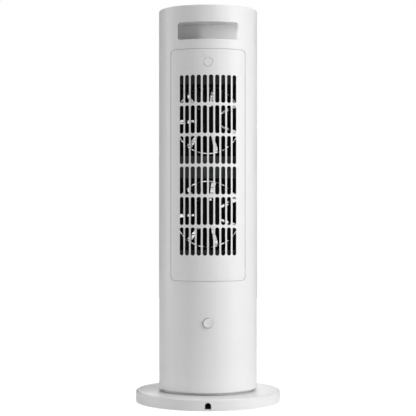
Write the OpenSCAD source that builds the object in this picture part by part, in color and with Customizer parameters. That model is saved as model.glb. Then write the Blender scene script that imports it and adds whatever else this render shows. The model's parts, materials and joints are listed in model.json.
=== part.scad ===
// Ceramic tower heater on a round swivelling base.
// Frame: +Z up, origin on the floor under the tower's axis.
// +Y is the intake side, with the grip and the power button; -Y is the warm-air outlet.

/* [Tower] */
// Height of the whole heater
total_h = 541; // [536:1:546]
// Outer radius of the tower's shell
shell_r = 68; // [68:0.5:70]
// Wall thickness of the shell
shell_wall = 2.6; // [2.2:0.1:2.8]
// Rounding of the shell's top edge
shell_edge_r = 1.8; // [1:0.1:2]
// Height of the shell's lower edge above the floor
shell_z0 = 20; // [19.5:0.5:20]

/* [Base] */
// Outer radius of the base
base_r = 100; // [96:1:104]
// Height of the base's top face
base_top = 16; // [15.8:0.1:16]
// Rounding of the base's upper edge
base_edge_r = 2; // [1:0.5:2.5]
// Height of the rubber feet
foot_h = 1; // [0.8:0.1:1]
// Half of the swing each way
swing_deg = 35; // [25:5:40]

/* [Intake panel] */
// Half width of the panel, measured straight across
panel_half_w = 50.2; // [48:0.2:50.2]
// Height of the panel's lower edge
panel_z0 = 170; // [168:1:171]
// Height of the panel's upper edge
panel_z1 = 481.5; // [478:0.5:482]
// Gap between the panel and the shell
panel_gap = 0.4; // [0.3:0.1:0.6]
// Width of one air slot
slot_w = 5.8; // [4.5:0.1:6.2]
// Length of one air slot
slot_len = 37.8; // [34:0.2:38.4]
// Height from one row of slots to the next
slot_pitch_z = 41; // [40:0.2:41.4]
// Angle from one column of slots to the next
slot_pitch_deg = 7; // [6.6:0.1:7.2]
// Number of slot rows
slot_rows = 6; // [4:1:6]
// Number of slot columns
slot_cols = 10; // [6:2:10]

/* [Grip] */
// Half width of the grip recess
grip_half_w = 40.8; // [38:0.2:42]
// Height of the grip recess's lower edge
grip_z0 = 494.6; // [493:0.2:496]
// Height of the grip recess's upper edge
grip_z1 = 518; // [516:1:519]
// Distance from the tower's axis to the recess's back wall
grip_back_y = 33; // [24:1:40]

/* [Buttons] */
// Height of the power button's centre
power_z = 113.6; // [110:0.2:118]
// Radius of the power button
power_r = 6.8; // [6:0.1:7]
// How far the power button stands out of the shell
power_proud = 2.5; // [2:0.1:3]
// Height of the panel's release button
release_z = 464; // [463:0.5:466]
// Radius of the panel's release button
release_r = 5.85; // [5.4:0.05:5.9]

/* [Fans and heater] */
// Radius of each fan's air duct
duct_r = 46; // [45.5:0.1:46.5]
// Radius at the blade tips
blade_tip_r = 44.5; // [42:0.1:44.6]
// Height from one fan's axis to the other's
fan_pitch_z = 128; // [127:1:130]
// Number of blades on each fan
fan_blades = 7; // [5:1:7]
// Thickness of the heater block from back to front
heater_depth = 20; // [16:1:20]
// Number of ceramic heating bars
heater_bars = 5; // [3:1:5]
// Height of one wave of the corrugated fins
fin_wave = 4; // [4:0.2:6]

/* [Outlet] */
// Half width of the outlet opening
outlet_half_w = 46; // [44:0.5:46]
// Height of the outlet's lower edge
outlet_z0 = 205; // [205:1:207]
// Height of the outlet's upper edge
outlet_z1 = 442; // [440:1:442]
// Height from one outlet slat to the next
slat_pitch = 7.5; // [7:0.25:9]

/* [Hidden] */
$fn = 64;

white = [0.93, 0.93, 0.93];
soft_white = [0.86, 0.86, 0.86];
black = [0.05, 0.05, 0.05];
dark_grey = [0.25, 0.25, 0.26];
steel = [0.62, 0.63, 0.65];
aluminium = [0.80, 0.81, 0.83];
board_green = [0.10, 0.33, 0.20];
brass = [0.80, 0.63, 0.30];

eps = 0.01;
cut = 1;                                 // how far a cutting tool runs past what it cuts
shell_in_r = shell_r - shell_wall;
inner_r = shell_in_r - 0.05;             // radius of the discs that the shell slides over
window_corner_r = 5.6;
grip_corner_r = 3.5;

// Base stack
cover_wall = 2.5;
plate_z0 = foot_h;
plate_t = 2;
plate_r = base_r - cover_wall - 0.4;
ballast_t = 5;
ballast_r_in = 48;
ballast_r_out = 88;
foot_count = 5;
foot_r = 8;
foot_pitch_r = 84;
collar_r_in = 56;
collar_r_out = 62;
collar_top = base_top + 4.4;
screw_count = 4;
screw_pitch_r = 92.5;

// Cord inlet at the back of the base
notch_r = 4.2;
notch_z = 7.7;
notch_floor = plate_z0 + plate_t + 0.4;
gland_y0 = 88.6;
gland_len = 8;
gland_r = 5;
gland_bore_r = 3.3;
gland_block_w = 22;

// Swivel
turn_z0 = base_top + 5.05;
turn_t = 3;
turn_hub_r = 17;
turn_hub_top = turn_z0 + 10.2;
spindle_r = 12;
spindle_bore_r = 5.6;
spindle_fit = 0.06;
ball_r = 2.5;
ball_count = 16;
ball_pitch_r = 50;
cage_t = 2.2;
cage_r_in = 46;
cage_r_out = 54;
ball_z = base_top + (turn_z0 - base_top) / 2;
stop_r = 38;
stop_peg_r = 2.4;
stop_slot_r = 3;

// Swing drive: a fixed gear on the spindle and a pinion on the motor
gear_module = 1;
gear_teeth = 45;
pinion_teeth = 15;
gear_z0 = turn_hub_top + 0.4;
gear_t = 5;
gear_bore_r = 10;
gear_centres = gear_module * (gear_teeth + pinion_teeth) / 2;
motor_r = 14;
motor_h = 19;
bracket_z0 = gear_z0 + gear_t + 1.6;
bracket_t = 2;
motor_shaft_r = 2;

// Tip-over switch
tip_x = -62;
tip_y = -34;
plunger_r = 3.4;
plunger_flange_r = 4.6;
plunger_flange_z = 6.2;
plunger_z0 = 0.15;
tip_bore_top = 10.9;

// Shelves and rails
shelf_t = 2.5;
lower_shelf_z = 186;
upper_shelf_z = 449;
rail_x0 = 57;
rail_x1 = 61;
rail_half_y = 6;
turn_top = turn_z0 + turn_t;

// Fans
slots_mid_z = 325.5;
fan_mid_z = 323.5;
fan_z = [fan_mid_z - fan_pitch_z / 2, fan_mid_z + fan_pitch_z / 2];
fan_half = 52;
fan_y0 = 12.8;
fan_depth = 25;
fan_y1 = fan_y0 + fan_depth;
fan_corner_r = 6;
fan_strut_t = 2.5;
fan_hub_r = 19;
fan_hub_wall = 2.4;
fan_motor_r = 15;
fan_shaft_r = 1.5;
fan_hub_y0 = 19.5;
fan_hub_y1 = 36.5;
blade_gap_deg = 6.4;
blade_start_deg = 9.2;
blade_width = 3.5;
blade_y0 = 20.5;
blade_h = 16;
fan_hole_x = 45;
fan_hole_z = 47;
carrier_y0 = fan_y1 + 0.2;
carrier_t = 2;
carrier_open_half = 49;

// Heater block
heater_y1 = 6;
heater_y0 = heater_y1 - heater_depth;
heater_z0 = 214;
heater_z1 = 430;
bar_w = 4.2;
fin_w = 11;
fin_t = 0.25;
fin_columns = heater_bars + 1;
heater_half_w = (heater_bars * bar_w + fin_columns * fin_w) / 2;
cap_h = 14;
duct_x0 = 51;
duct_x1 = 53;
duct_half_y = 38;
plates_per_bar = 8;

// Panel release
latch_y0 = 36;
latch_z = release_z - 9.2;
latch_t = 0.6;
boss_r = 8.3;
boss_y0 = 54;
boss_floor_t = 2;
groove_y0 = 57.5;
groove_y1 = 60;
groove_r = 7;
release_fit = 0.35;
release_stem_r = 3;
release_head_y0 = 62;
wedge_y0 = 48.9;
wedge_z = release_z - 8.3;

// Power button
power_hole_r = power_r + 0.3;
power_flange_r = 8.6;
power_flange_y = 62.8;
power_flange_t = 1.5;
power_stem_r = 3;
power_sleeve_in = 8.9;
power_sleeve_out = 10.5;
switch_y0 = 28;
switch_y1 = 46.9;
switch_plate_y = 47;
switch_plate_t = 2.2;

// Control board
board_half_w = 42;
board_z0 = 66;
board_z1 = 160;
board_t = 1.6;
board_y1 = -0.4;
tray_y0 = board_y1 + 2;
tray_t = 2;

// Top and display
cap_top = total_h - 0.8;
cap_t = 2.6;
glass_r = 40;
glass_t = 1.6;
display_half_w = 18;
display_z0 = 468;
display_z1 = 486;

// ---------- shared shapes ----------

module tube(r_out, r_in, h) {
    difference() {
        cylinder(r = r_out, h = h);
        translate([0, 0, -cut]) cylinder(r = r_in, h = h + 2 * cut);
    }
}

// A flat rectangle with round corners, centred
module rounded_rect(half_w, half_h, r) {
    union() {
        square([2 * half_w, 2 * (half_h - r)], center = true);
        square([2 * (half_w - r), 2 * half_h], center = true);
        for (sx = [-1, 1], sy = [-1, 1])
            translate([sx * (half_w - r), sy * (half_h - r)]) circle(r = r);
    }
}

// A straight-sided window through the shell: side 1 is the intake side, -1 the outlet side
module window(side, half_w, z0, z1, r, y0 = 30, y1 = 80) {
    translate([0, side * y0, (z0 + z1) / 2])
        rotate([side > 0 ? -90 : 90, 0, 0])
            linear_extrude(height = y1 - y0)
                rounded_rect(half_w, (z1 - z0) / 2, r);
}

// A ring segment about the tower's axis, centred on an angle
module ring_segment(r_in, r_out, z0, h, angle, half_angle) {
    translate([0, 0, z0])
        rotate([0, 0, angle - half_angle])
            rotate_extrude(angle = 2 * half_angle)
                translate([r_in, 0]) square([r_out - r_in, h]);
}

// Puts a shape made along +Z onto a horizontal axis along +Y at a height
module along_y(z, y = 0) {
    translate([0, y, z]) rotate([-90, 0, 0]) children();
}

module pan_screw(head_r, head_h, shank_r, shank_l) {
    cylinder(r = head_r, h = head_h);
    translate([0, 0, -shank_l]) cylinder(r = shank_r, h = shank_l + eps);
}

function unit(v) = v / norm(v);

// A round tube swept along points, as one closed polyhedron
module swept_tube(points, r, sides = 8, up = [0, 0, 1]) {
    n = len(points);
    rings = [
        for (i = [0 : n - 1])
            let (
                t = unit(points[min(i + 1, n - 1)] - points[max(i - 1, 0)]),
                a = unit(cross(up, t)),
                b = cross(t, a)
            )
            for (k = [0 : sides - 1])
                points[i] + r * (cos(360 * k / sides) * a + sin(360 * k / sides) * b)
    ];
    walls = [
        for (i = [0 : n - 2], k = [0 : sides - 1])
            let (j = (k + 1) % sides)
            [i * sides + k, (i + 1) * sides + k, (i + 1) * sides + j, i * sides + j]
    ];
    first = [for (k = [0 : sides - 1]) k];
    last = [for (k = [sides - 1 : -1 : 0]) (n - 1) * sides + k];
    polyhedron(points = rings, faces = concat([first], walls, [last]), convexity = 6);
}

// A compression spring standing on z = 0
module coil_spring(mean_r, wire_r, h, turns, steps = 14) {
    rise = (h - 2 * wire_r) / (turns * steps);
    swept_tube(
        [for (i = [0 : turns * steps])
            [mean_r * cos(360 * i / steps), mean_r * sin(360 * i / steps), wire_r + rise * i]],
        wire_r
    );
}

// ---------- gears ----------

pressure_deg = 20;
backlash_deg = 0.35;
function involute_deg(a) = tan(a) * 180 / PI - a;
function half_tooth_deg(teeth, pitch_r, r) =
    let (base_circle = pitch_r * cos(pressure_deg))
    90 / teeth - backlash_deg * 12 / teeth + involute_deg(pressure_deg)
        - involute_deg(acos(min(1, base_circle / r)));

module spur_gear(teeth, h) {
    pitch_r = gear_module * teeth / 2;
    base_circle = pitch_r * cos(pressure_deg);
    tip_r = pitch_r + 0.92 * gear_module;
    root_r = pitch_r - 1.25 * gear_module;
    flank_r0 = max(base_circle, root_r);
    radii = [for (i = [0 : 4]) flank_r0 + (tip_r - flank_r0) * i / 4];
    function at(r, deg) = [r * cos(deg), r * sin(deg)];
    outline = [
        for (t = [0 : teeth - 1])
            let (
                centre = 360 * t / teeth,
                left = [for (r = radii) at(r, centre - half_tooth_deg(teeth, pitch_r, r))],
                right = [for (i = [len(radii) - 1 : -1 : 0])
                    at(radii[i], centre + half_tooth_deg(teeth, pitch_r, radii[i]))],
                foot = half_tooth_deg(teeth, pitch_r, flank_r0)
            )
            each concat([at(root_r, centre - foot)], left, right, [at(root_r, centre + foot)])
    ];
    linear_extrude(height = h) polygon(outline);
}

// ---------- base ----------

module cord_notch(y0, y1) {
    window(1, notch_r, notch_floor, notch_z + notch_r, notch_r - eps, y0, y1);
    translate([-notch_r, y0, 0]) cube([2 * notch_r, y1 - y0, notch_z]);
}

module base_cover() {
    rim_z0 = plate_z0;
    color(white) difference() {
        union() {
            rotate_extrude() union() {
                translate([0, base_top - cover_wall]) square([base_r - base_edge_r, cover_wall]);
                translate([base_r - cover_wall, rim_z0])
                    square([cover_wall, base_top - base_edge_r - rim_z0]);
                translate([base_r - base_edge_r, base_top - base_edge_r]) intersection() {
                    circle(r = base_edge_r);
                    square(base_edge_r);
                }
            }
            translate([0, 0, base_top - eps])
                tube(collar_r_out, collar_r_in, collar_top - base_top + eps);
            translate([0, -stop_r, base_top - eps]) cylinder(r = stop_peg_r, h = 7.5);
            screw_posts(3.4, plate_z0 + plate_t, base_top - cover_wall + eps);
        }
        translate([0, 0, base_top - cover_wall - cut])
            cylinder(r = spindle_r + spindle_fit, h = cover_wall + 2 * cut);
        screw_posts(1.4, 0, base_top - cover_wall - 1.5);
        cord_notch(base_r - cover_wall - 2, base_r + cut);
    }
}

// The base's screws stand on one circle, between the feet
module screw_posts(r, z0, z1) {
    for (i = [0 : screw_count - 1])
        rotate([0, 0, 360 / screw_count * (i + 0.5)])
            translate([screw_pitch_r, 0, z0]) cylinder(r = r, h = z1 - z0);
}

module base_plate() {
    color(white) difference() {
        union() {
            translate([0, 0, plate_z0]) cylinder(r = plate_r, h = plate_t);
            translate([-notch_r + 0.2, plate_r - 3, plate_z0])
                cube([2 * notch_r - 0.4, base_r - plate_r + 2.6, plate_t + 0.2]);
        }
        screw_posts(1.9, 0, 8);
        translate([tip_x, tip_y, 0]) cylinder(r = plunger_r + 0.3, h = 8);
    }
}

module base_ballast() {
    z0 = plate_z0 + plate_t;
    color(steel) difference() {
        translate([0, 0, z0]) tube(ballast_r_out, ballast_r_in, ballast_t);
        translate([-gland_block_w / 2 - 1, ballast_r_in - 5, 0]) cube([gland_block_w + 2, 60, 20]);
        translate([tip_x - 15, tip_y - 10, 0]) cube([30, 20, 20]);
    }
}

module rubber_feet() {
    color(black) for (i = [0 : foot_count - 1])
        rotate([0, 0, 360 / foot_count * i + 54])
            translate([foot_pitch_r, 0, 0]) cylinder(r = foot_r, h = foot_h);
}

module base_screws() {
    color(steel) for (i = [0 : screw_count - 1])
        rotate([0, 0, 360 / screw_count * (i + 0.5)])
            translate([screw_pitch_r, 0, plate_z0])
                union() {
                    cylinder(r = 1.85, h = plate_t - 0.05);
                    cylinder(r = 1.35, h = 9);
                }
}

module cord_gland() {
    color(black) difference() {
        union() {
            translate([0, gland_y0, notch_z]) rotate([-90, 0, 0]) cylinder(r = gland_r, h = gland_len);
            translate([-gland_block_w / 2, gland_y0 - 6, plate_z0 + plate_t])
                cube([gland_block_w, 6 + eps, base_top - cover_wall - plate_z0 - plate_t]);
        }
        translate([0, gland_y0 - 8, notch_z]) rotate([-90, 0, 0]) cylinder(r = gland_bore_r, h = 20);
        translate([-20, gland_y0 - 10, 0]) cube([40, 30, plate_z0 + plate_t + 0.2]);
    }
}

module tipover_switch() {
    color(black) difference() {
        translate([tip_x - 10, tip_y - 6, plate_z0 + plate_t]) cube([20, 12, 10]);
        translate([tip_x, tip_y, 0]) cylinder(r = plunger_flange_r + 0.3, h = tip_bore_top);
        translate([tip_x, tip_y, 0]) cylinder(r = 1.6, h = 12);
    }
}

// The pin stands flush with the feet while the heater stands, and drops when it is lifted or falls
module tipover_plunger() {
    color(soft_white) translate([tip_x, tip_y, 0]) {
        translate([0, 0, plunger_z0]) cylinder(r = plunger_r, h = plunger_flange_z - plunger_z0 + eps);
        translate([0, 0, plunger_flange_z]) cylinder(r = plunger_flange_r, h = 0.8);
        translate([0, 0, plunger_flange_z]) cylinder(r = 1.4, h = 5.2);
    }
}

module tipover_spring() {
    z0 = plunger_flange_z + 0.82;
    color(steel) translate([tip_x, tip_y, z0])
        coil_spring(3.2, 0.35, tip_bore_top - z0 - 0.02, 3, 12);
}

module spindle() {
    color(steel) difference() {
        union() {
            translate([0, 0, plate_z0 + plate_t]) cylinder(r = 20, h = 3);
            translate([0, 0, plate_z0 + plate_t]) cylinder(r = spindle_r, h = gear_z0 - plate_z0 - plate_t);
            translate([0, 0, gear_z0 - eps]) cylinder(r = gear_bore_r, h = gear_t + 4.5);
        }
        cylinder(r = spindle_bore_r, h = 80);
        translate([-3.6, 0, plate_z0 + plate_t + 3]) cube([7.2, 30, 6.6]);
    }
}

module fixed_gear() {
    color(soft_white) translate([0, 0, gear_z0]) difference() {
        spur_gear(gear_teeth, gear_t);
        translate([0, 0, -cut]) cylinder(r = gear_bore_r + spindle_fit, h = gear_t + 2 * cut);
    }
}

module spindle_nut() {
    nut_r = 13.4;
    color(steel) translate([0, 0, gear_z0 + gear_t]) difference() {
        cylinder(r = nut_r, h = 3.5, $fn = 6);
        translate([0, 0, -cut]) cylinder(r = gear_bore_r + spindle_fit, h = 6);
    }
}

// ---------- swivel ----------

module bearing_cage() {
    color(soft_white) difference() {
        translate([0, 0, ball_z - cage_t / 2]) tube(cage_r_out, cage_r_in, cage_t);
        for (i = [0 : ball_count - 1])
            rotate([0, 0, 360 / ball_count * i])
                translate([ball_pitch_r, 0, ball_z - cage_t])
                    cylinder(r = ball_r + 0.06, h = 2 * cage_t);
    }
}

module bearing_balls() {
    color(steel) for (i = [0 : ball_count - 1])
        rotate([0, 0, 360 / ball_count * i])
            translate([ball_pitch_r, 0, ball_z]) sphere(r = ball_r);
}

module turntable_plate() {
    color(dark_grey) difference() {
        union() {
            translate([0, 0, turn_z0]) cylinder(r = inner_r, h = turn_t);
            translate([0, 0, turn_z0]) cylinder(r = turn_hub_r, h = turn_hub_top - turn_z0);
        }
        cylinder(r = spindle_r + spindle_fit, h = 60);
        ring_segment(stop_r - stop_slot_r, stop_r + stop_slot_r, turn_z0 - cut, turn_t + 2 * cut,
                     -90, swing_deg + 0.3);
        for (s = [-1, 1])
            rotate([0, 0, -90 + s * (swing_deg + 0.3)])
                translate([stop_r, 0, turn_z0 - cut]) cylinder(r = stop_slot_r, h = turn_t + 2 * cut);
        frame_screw_places() translate([0, 0, -6]) cylinder(r = 1.55, h = 12);
    }
}

module drive_pinion() {
    color(soft_white) translate([-gear_centres, 0, gear_z0]) {
        spur_gear(pinion_teeth, gear_t);
        cylinder(r = motor_shaft_r, h = gear_t + 8.5);
    }
}

module swing_motor() {
    z0 = bracket_z0 + bracket_t;
    color(steel) translate([-gear_centres, 0, z0]) difference() {
        union() {
            cylinder(r = motor_r, h = motor_h);
            translate([-4, -motor_r - 3, 3]) cube([8, 6, 10]);
        }
        translate([0, 0, -cut]) cylinder(r = motor_shaft_r + 0.06, h = 6 + cut);
    }
}

module motor_bracket() {
    post_y = 21;
    color(dark_grey) difference() {
        union() {
            translate([-gear_centres - 16, -post_y - 4, bracket_z0]) cube([30, 2 * post_y + 8, bracket_t]);
            for (s = [-1, 1])
                translate([-gear_centres, s * post_y, turn_top])
                    cylinder(r = 3.4, h = bracket_z0 - turn_top + eps);
        }
        translate([-gear_centres, 0, bracket_z0 - cut]) cylinder(r = 8, h = bracket_t + 2 * cut);
    }
}

// ---------- tower structure ----------

module tower_shell() {
    h = total_h - shell_z0;
    color(white) difference() {
        translate([0, 0, shell_z0]) rotate_extrude() union() {
            translate([shell_in_r, 0]) square([shell_wall, h - shell_edge_r]);
            translate([shell_in_r, 0]) square([shell_wall - shell_edge_r, h]);
            translate([shell_r - shell_edge_r, h - shell_edge_r]) intersection() {
                circle(r = shell_edge_r);
                square(shell_edge_r);
            }
        }
        window(1, panel_half_w + panel_gap, panel_z0 - panel_gap, panel_z1 + panel_gap, window_corner_r);
        window(1, grip_half_w, grip_z0, grip_z1, grip_corner_r);
        window(-1, outlet_half_w, outlet_z0, outlet_z1, 8);
        window(-1, display_half_w, display_z0, display_z1, 4);
        along_y(power_z, 50) cylinder(r = power_hole_r, h = 30);
    }
}

module top_cap() {
    color(white) difference() {
        union() {
            translate([0, 0, cap_top - cap_t]) cylinder(r = inner_r, h = cap_t);
            translate([0, 0, cap_top - 9]) tube(inner_r, inner_r - 2.2, 9 - eps);
            for (i = [0 : 2])
                rotate([0, 0, 120 * i + 30])
                    translate([30, 0, cap_top - 7]) cylinder(r = 2.6, h = 7 - cap_t + eps);
        }
        translate([0, 0, cap_top - glass_t]) cylinder(r = glass_r + 0.15, h = glass_t + cut);
    }
}

module control_glass() {
    color([0.97, 0.97, 0.97]) translate([0, 0, cap_top - glass_t]) cylinder(r = glass_r, h = glass_t + 0.1);
}

module touch_board() {
    color(board_green) translate([0, 0, cap_top - 7 - board_t]) cylinder(r = 36, h = board_t);
    color(black) translate([0, 0, cap_top - 7]) {
        for (i = [0 : 3])
            rotate([0, 0, 90 * i]) translate([18, 0, 0]) cylinder(r = 4, h = 7 - cap_t - 0.1);
        translate([-4, -4, 0]) cube([8, 8, 1.2]);
    }
}

module grip_cup() {
    wall = 2.4;
    color(soft_white) difference() {
        intersection() {
            translate([-grip_half_w - wall, grip_back_y - wall, grip_z0 - wall])
                cube([2 * (grip_half_w + wall), 40, grip_z1 - grip_z0 + 2 * wall]);
            cylinder(r = shell_in_r, h = total_h);
        }
        window(1, grip_half_w, grip_z0, grip_z1, grip_corner_r, grip_back_y, 80);
    }
}

module outlet_grille() {
    gap = 0.35;
    half_w = outlet_half_w - gap;
    z0 = outlet_z0 + gap;
    z1 = outlet_z1 - gap;
    border = 4.5;
    slat_count = floor((z1 - z0 - 2 * border) / slat_pitch);
    first = (z0 + z1) / 2 - (slat_count - 1) / 2 * slat_pitch;
    reach = asin((half_w - 1.5) / 62);
    color(white) union() {
        difference() {
            intersection() {
                tube(shell_r - 0.4, 61, total_h);
                window(-1, half_w, z0, z1, 7.6);
            }
            window(-1, half_w - border, z0 + border, z1 - border, 4.5);
        }
        intersection() {
            union() {
                for (i = [0 : slat_count - 1])
                    ring_segment(59.5, shell_r - 1.2, first + i * slat_pitch - 0.9, 1.8, -90, reach + 2);
                for (a = [-24, -8, 8, 24])
                    rotate([0, 0, -90 + a])
                        translate([58.5, -0.8, z0 + 1]) cube([6, 1.6, z1 - z0 - 2]);
            }
            window(-1, half_w - 2, z0 + 2, z1 - 2, 6, 20, 80);
        }
    }
}

module display_window() {
    gap = 0.25;
    color(dark_grey) intersection() {
        tube(shell_r - 0.15, shell_in_r - 0.2, total_h);
        window(-1, display_half_w - gap, display_z0 + gap, display_z1 - gap, 3.75);
    }
}

module display_board() {
    color(board_green) translate([-22, -59, display_z0 - 4]) cube([44, board_t, display_z1 - display_z0 + 8]);
    color(soft_white) translate([-14, -62.4, display_z0 + 2]) cube([28, 3.4, display_z1 - display_z0 - 4]);
}

module lower_shelf() {
    color(dark_grey) difference() {
        translate([0, 0, lower_shelf_z]) cylinder(r = inner_r, h = shelf_t);
        for (s = [-1, 1])
            translate([s * 30, -24, lower_shelf_z - cut]) cylinder(r = 7, h = shelf_t + 2 * cut);
    }
}

module upper_shelf() {
    top = upper_shelf_z + shelf_t;
    color(dark_grey) difference() {
        union() {
            translate([0, 0, upper_shelf_z]) cylinder(r = inner_r, h = shelf_t);
            translate([-6, latch_y0, top - eps]) cube([12, 9, latch_z - top + eps]);
            for (s = [-1, 1])
                translate([s * 18 - 2, -57.4, top - eps]) cube([4, 4, display_z1 + 4 - top]);
        }
        translate([0, -30, upper_shelf_z - cut]) cylinder(r = 9, h = shelf_t + 2 * cut);
    }
}

module frame_screw_places() {
    for (s = [-1, 1]) translate([s * 51, 0, turn_top + 3]) children();
}

module side_rails() {
    color(steel) difference() {
        for (s = [-1, 1]) union() {
            translate([s > 0 ? rail_x0 : -rail_x1, -rail_half_y, turn_top])
                cube([rail_x1 - rail_x0, 2 * rail_half_y, lower_shelf_z - turn_top]);
            translate([s > 0 ? rail_x0 : -rail_x1, -rail_half_y, lower_shelf_z + shelf_t])
                cube([rail_x1 - rail_x0, 2 * rail_half_y, upper_shelf_z - lower_shelf_z - shelf_t]);
            translate([s > 0 ? 45 : -rail_x0 - eps, -rail_half_y, turn_top])
                cube([rail_x0 - 45 + eps, 2 * rail_half_y, 3]);
        }
        frame_screw_places() translate([0, 0, -6]) cylinder(r = 1.55, h = 12);
    }
}

// The screws of the rails, the control board and both fans
module tower_screws() {
    color(steel) {
        frame_screw_places() pan_screw(2.9, 2, 1.5, 5.6);
        board_corners() pan_screw(2.9, 1.8, 1.45, 5.2);
        for (z = fan_z) fan_corners(z) rotate([180, 0, 0]) pan_screw(2.6, 1.8, 1.45, fan_depth - 1);
    }
}

// ---------- electronics ----------

module main_board() {
    color(board_green) difference() {
        translate([-board_half_w, board_y1 - board_t, board_z0])
            cube([2 * board_half_w, board_t, board_z1 - board_z0]);
        board_corners() translate([0, 0, -9]) cylinder(r = 1.6, h = 18);
    }
}

// The control board's four fixing points, each with +Z out of the board's front face
module board_corners() {
    for (sx = [-1, 1], z = [board_z0 + 5, board_z1 - 5])
        translate([sx * (board_half_w - 5), board_y1 - board_t, z]) rotate([90, 0, 0]) children();
}

// Parts that stand on the front face of the control board
module board_parts() {
    face = board_y1 - board_t;
    module block(x, z, w, d, h) translate([x - w / 2, face - d, z - h / 2]) cube([w, d, h]);
    module can(x, z, r, l) translate([x, face, z]) rotate([90, 0, 0]) cylinder(r = r, h = l);
    color(black) {
        block(-28, 144, 18, 15, 14);
        block(-6, 144, 18, 15, 14);
        block(-28, 88, 12, 8, 18);
        block(8, 98, 9, 2, 9);
    }
    color([0.85, 0.70, 0.20]) block(24, 118, 24, 18, 20);
    color([0.15, 0.25, 0.55]) {
        can(-8, 84, 8, 24);
        can(24, 88, 5.5, 14);
    }
    color(aluminium) block(-28, 114, 18, 20, 24);
    color(soft_white) {
        block(20, 148, 16, 9, 8);
        block(34, 104, 6, 8, 20);
        block(24, 72, 20, 9, 7);
    }
}

module board_tray() {
    color(dark_grey) difference() {
        union() {
            translate([-rail_x0, tray_y0, board_z0 - 4])
                cube([2 * rail_x0, tray_t, board_z1 - board_z0 + 8]);
            board_corners() translate([0, 0, -board_t - (tray_y0 - board_y1) - eps])
                cylinder(r = 3, h = tray_y0 - board_y1 + eps);
        }
        board_corners() translate([0, 0, -board_t - 5]) cylinder(r = 1.5, h = 6);
    }
}

module power_switch() {
    color(black) difference() {
        translate([-9, switch_y0, power_z - 9.5]) cube([18, switch_y1 - switch_y0, 19]);
        along_y(power_z, switch_y1 - 4) cylinder(r = power_stem_r + 0.3, h = 10);
    }
    color(brass) for (x = [-5, 0, 5])
        translate([x - 1, switch_y0 - 7, power_z - 0.4]) cube([2, 7, 0.8]);
}

module switch_bracket() {
    sleeve_y1 = 63.9;
    color(dark_grey) difference() {
        union() {
            translate([-14, switch_plate_y, power_z - 16]) cube([28, switch_plate_t, 32]);
            along_y(power_z, switch_plate_y) cylinder(r = power_sleeve_out, h = sleeve_y1 - switch_plate_y);
            for (s = [-1, 1])
                translate([s > 0 ? 14 - eps : -17, tray_y0 + tray_t, power_z - 16])
                    cube([3 + eps, switch_plate_y + switch_plate_t - tray_y0 - tray_t, 32]);
        }
        along_y(power_z, switch_plate_y + switch_plate_t) cylinder(r = power_sleeve_in, h = 40);
        along_y(power_z, switch_plate_y - cut) cylinder(r = power_stem_r + 0.3, h = 10);
    }
}

module power_button() {
    chamfer = 0.6;
    face_y = shell_r + power_proud;
    color(white) along_y(power_z) union() {
        translate([0, 0, power_flange_y]) cylinder(r = power_flange_r, h = power_flange_t);
        translate([0, 0, power_flange_y]) cylinder(r = power_r, h = face_y - chamfer - power_flange_y);
        translate([0, 0, face_y - chamfer]) cylinder(r1 = power_r, r2 = power_r - chamfer, h = chamfer);
        translate([0, 0, switch_y1 + 0.1 - 1]) cylinder(r = power_stem_r, h = power_flange_y - switch_y1 + 1);
    }
}

module power_spring() {
    color(steel) along_y(power_z, switch_plate_y + switch_plate_t + 0.02)
        coil_spring(5.4, 0.5, power_flange_y - switch_plate_y - switch_plate_t - 0.04, 5);
}

// ---------- intake panel ----------

// One air slot with round ends, cut straight through so that the panel leaves its mould
module air_slot(turn, z) {
    half_w = slot_w / 2 * cos(turn);
    end_centre = slot_len / 2 - half_w;
    translate([shell_r * sin(turn), 48, z])
        rotate([-90, 0, 0])
            linear_extrude(height = 24) polygon([
                for (s = [-1, 1], a = [0 : 22.5 : 180])
                    s * [half_w * cos(a), end_centre + half_w * sin(a)]
            ]);
}

module intake_panel() {
    panel_in_r = shell_r - 2.4;
    color(white) difference() {
        union() {
            intersection() {
                tube(shell_r, panel_in_r, total_h);
                window(1, panel_half_w, panel_z0, panel_z1, window_corner_r - panel_gap);
            }
            for (s = [-1, 1]) {
                ring_segment(62, shell_in_r - 0.6, panel_z0 - 8, 14, 90 + s * 22, 5);
                ring_segment(62, panel_in_r + 0.4, panel_z0 + 1.5, 4.5, 90 + s * 22, 5);
            }
            along_y(release_z, boss_y0) cylinder(r = boss_r, h = panel_in_r - boss_y0);
        }
        for (row = [0 : slot_rows - 1], col = [0 : slot_cols - 1])
            air_slot((col - (slot_cols - 1) / 2) * slot_pitch_deg,
                     slots_mid_z + (row - (slot_rows - 1) / 2) * slot_pitch_z);
        along_y(release_z, boss_y0 + boss_floor_t) cylinder(r = release_r + release_fit, h = 30);
        along_y(release_z, boss_y0 - cut) cylinder(r = release_stem_r + 0.3, h = 10);
        along_y(release_z, groove_y0) tube(boss_r + cut, groove_r, groove_y1 - groove_y0);
    }
}

module release_button() {
    color(white) union() {
        intersection() {
            along_y(release_z, release_head_y0) cylinder(r = release_r, h = 10);
            cylinder(r = shell_r, h = total_h);
        }
        along_y(release_z, wedge_y0) cylinder(r = release_stem_r, h = release_head_y0 - wedge_y0 + eps);
        side_profile(3) polygon([
            [boss_y0 - 0.2, release_z + 3], [wedge_y0, release_z + 3], [wedge_y0, wedge_z + 1.7],
            [wedge_y0 + 1.7, wedge_z], [boss_y0 - 0.2, wedge_z]
        ]);
    }
}

// Extrudes an outline drawn in Y and Z, the same way to both sides of the middle plane
module side_profile(half_w) {
    rotate([90, 0, 90]) linear_extrude(height = 2 * half_w, center = true) children();
}

module release_spring() {
    y0 = boss_y0 + boss_floor_t;
    color(steel) along_y(release_z, y0 + 0.02)
        coil_spring(4.5, 0.45, release_head_y0 - y0 - 0.04, 3);
}

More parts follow.
